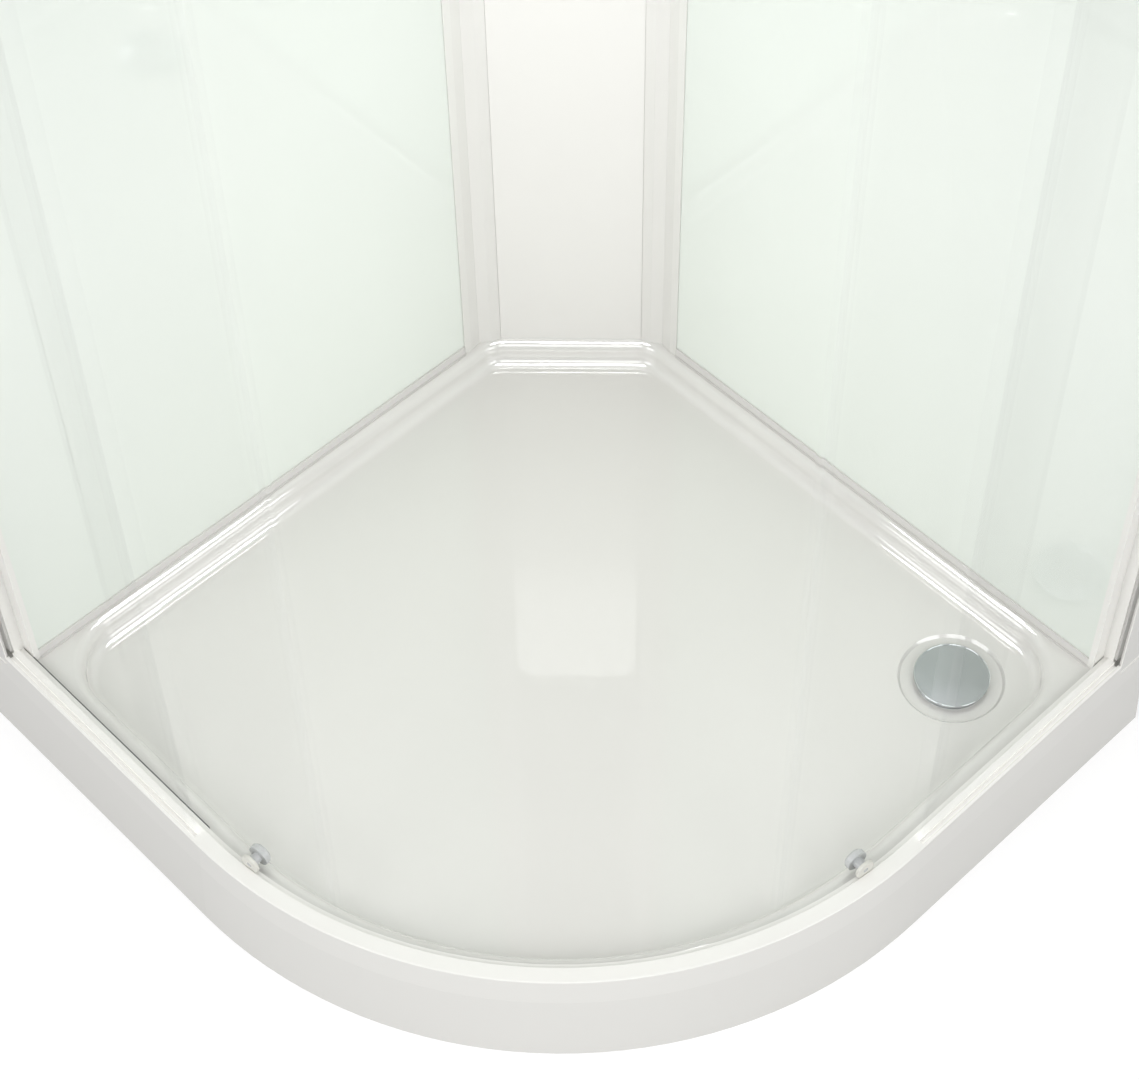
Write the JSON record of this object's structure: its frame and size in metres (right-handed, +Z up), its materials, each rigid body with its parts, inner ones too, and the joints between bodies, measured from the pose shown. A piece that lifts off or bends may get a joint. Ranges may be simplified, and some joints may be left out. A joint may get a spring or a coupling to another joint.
{
  "type": "quadrant shower enclosure",
  "caption": "Quadrant shower enclosure on a low white tray: curved sliding glass doors, fixed panes, painted glass rear walls and a corner column.",
  "frame": {"origin": "centre of the square plan at floor level, under the feet", "axes": "+Z up; the two walls are the planes x = -0.45 m and y = +0.45 m; the round front faces +X and -Y"},
  "size_m": [0.9, 0.9, 2.15],
  "materials": {
    "tray_acrylic": "glossy white acrylic",
    "apron_acrylic": "glossy white acrylic",
    "base_board": "raw chipboard",
    "galvanised_steel": "zinc plated",
    "foot_plastic": "matt black",
    "white_frame": "gloss white powder coat on aluminium",
    "dark_rubber": "matt",
    "nylon": "satin",
    "clear_glass": "clear tempered",
    "clear_seal": "clear soft plastic",
    "painted_glass": "back-painted white, polished",
    "white_strip": "satin white",
    "column_plastic": "glossy white",
    "chrome": "polished",
    "housing_plastic": "chrome-grey",
    "button_plastic": "glossy",
    "trap_plastic": "satin"
  },
  "bodies": {
    "enclosure": {"tray_shell": "tray_acrylic", "tray_base_board": "base_board", "support_bearer_rear": "galvanised_steel", "support_bearer_middle": "galvanised_steel", "support_bearer_front": "galvanised_steel", "feet_pads": "foot_plastic", "feet_studs": "galvanised_steel", "feet_nuts": "galvanised_steel", "front_apron": "apron_acrylic", "apron_brackets": "galvanised_steel", "bottom_rail": "white_frame", "top_rail": "white_frame", "rail_end_blocks": "nylon", "post_screws": "galvanised_steel", "rail_gasket_left": "dark_rubber", "track_stops": "dark_rubber", "wall_post_left": "white_frame", "wall_post_right": "white_frame", "post_gasket_left": "dark_rubber", "post_gasket_right": "dark_rubber", "fixed_glass_left": "clear_glass", "fixed_glass_right": "clear_glass", "fixed_glass_seal_left": "clear_seal", "fixed_glass_seal_right": "clear_seal", "rear_glass_left": "painted_glass", "rear_glass_right": "painted_glass", "rear_bottom_strip_left": "white_strip", "rear_bottom_strip_right": "white_strip", "rear_top_strip_left": "white_strip", "rear_top_strip_right": "white_strip", "column_panel": "column_plastic", "column_cover": "column_plastic", "column_profile_left": "column_plastic", "column_profile_right": "column_plastic", "column_cap": "column_plastic", "drain_flange": "chrome", "drain_gasket": "dark_rubber", "trap_body": "trap_plastic", "trap_cup": "trap_plastic"},
    "door_left": {"door_glass_left": "clear_glass", "door_roller_mounts_left": "chrome", "lower_roller_housing_left": "housing_plastic", "door_knob_left": "chrome", "magnetic_seal_left": "clear_seal"},
    "upper_roller_front_left": {"upper_roller_front_left": "nylon"},
    "upper_roller_rear_left": {"upper_roller_rear_left": "nylon"},
    "lower_roller_left": {"lower_roller_left": "nylon"},
    "release_button_left": {"release_button_left": "button_plastic"},
    "door_right": {"door_glass_right": "clear_glass", "door_roller_mounts_right": "chrome", "lower_roller_housing_right": "housing_plastic", "door_knob_right": "chrome", "magnetic_seal_right": "clear_seal"},
    "upper_roller_front_right": {"upper_roller_front_right": "nylon"},
    "upper_roller_rear_right": {"upper_roller_rear_right": "nylon"},
    "lower_roller_right": {"lower_roller_right": "nylon"},
    "release_button_right": {"release_button_right": "button_plastic"},
    "drain_cover": {"drain_cover": "chrome"}
  },
  "joints": [
    {"name": "door_left_slide", "type": "hinge", "parent": "enclosure", "child": "door_left", "pos_m": [-0.078, 0.078, 1.15], "axis": [0, 0, 1], "range_deg": [0, 26]},
    {"name": "upper_roller_front_left_spin", "type": "hinge", "parent": "door_left", "child": "upper_roller_front_left", "pos_m": [0.03394, -0.40685, 2.1223], "axis": [-0.225, 0.9744, 0], "range_deg": [0, 1177]},
    {"name": "upper_roller_rear_left_spin", "type": "hinge", "parent": "door_left", "child": "upper_roller_rear_left", "pos_m": [-0.10404, -0.41892, 2.1223], "axis": [0.0523, 0.9986, 0], "range_deg": [0, 1177]},
    {"name": "lower_roller_left_spin", "type": "hinge", "parent": "door_left", "child": "lower_roller_left", "pos_m": [-0.02167, -0.4164, 0.1398], "axis": [-0.1132, 0.9936, 0], "range_deg": [0, 1177]},
    {"name": "release_button_left_press", "type": "slide", "parent": "door_left", "child": "release_button_left", "axis": [0.1132, -0.9936, 0], "range_m": [0, 0.0025], "stiffness_N_per_m": 300},
    {"name": "door_right_slide", "type": "hinge", "parent": "enclosure", "child": "door_right", "pos_m": [-0.078, 0.078, 1.15], "axis": [0, 0, -1], "range_deg": [0, 26]},
    {"name": "upper_roller_front_right_spin", "type": "hinge", "parent": "door_right", "child": "upper_roller_front_right", "pos_m": [0.40685, -0.03394, 2.1223], "axis": [0.9744, -0.225, 0], "range_deg": [0, 1177]},
    {"name": "upper_roller_rear_right_spin", "type": "hinge", "parent": "door_right", "child": "upper_roller_rear_right", "pos_m": [0.41892, 0.10404, 2.1223], "axis": [0.9986, 0.0523, 0], "range_deg": [0, 1177]},
    {"name": "lower_roller_right_spin", "type": "hinge", "parent": "door_right", "child": "lower_roller_right", "pos_m": [0.4164, 0.02167, 0.1398], "axis": [0.9936, -0.1132, 0], "range_deg": [0, 1177]},
    {"name": "release_button_right_press", "type": "slide", "parent": "door_right", "child": "release_button_right", "axis": [0.9936, -0.1132, 0], "range_m": [0, 0.0025], "stiffness_N_per_m": 300},
    {"name": "drain_cover_lift", "type": "slide", "parent": "enclosure", "child": "drain_cover", "axis": [0, 0, 1], "range_m": [0, 0.06]}
  ],
  "couplings": [
    {"joint": "upper_roller_front_left_spin", "follows": "door_left_slide", "ratio": 45.236},
    {"joint": "upper_roller_rear_left_spin", "follows": "door_left_slide", "ratio": 45.236},
    {"joint": "lower_roller_left_spin", "follows": "door_left_slide", "ratio": 45.236},
    {"joint": "upper_roller_front_right_spin", "follows": "door_right_slide", "ratio": 45.236},
    {"joint": "upper_roller_rear_right_spin", "follows": "door_right_slide", "ratio": 45.236},
    {"joint": "lower_roller_right_spin", "follows": "door_right_slide", "ratio": 45.236}
  ]
}
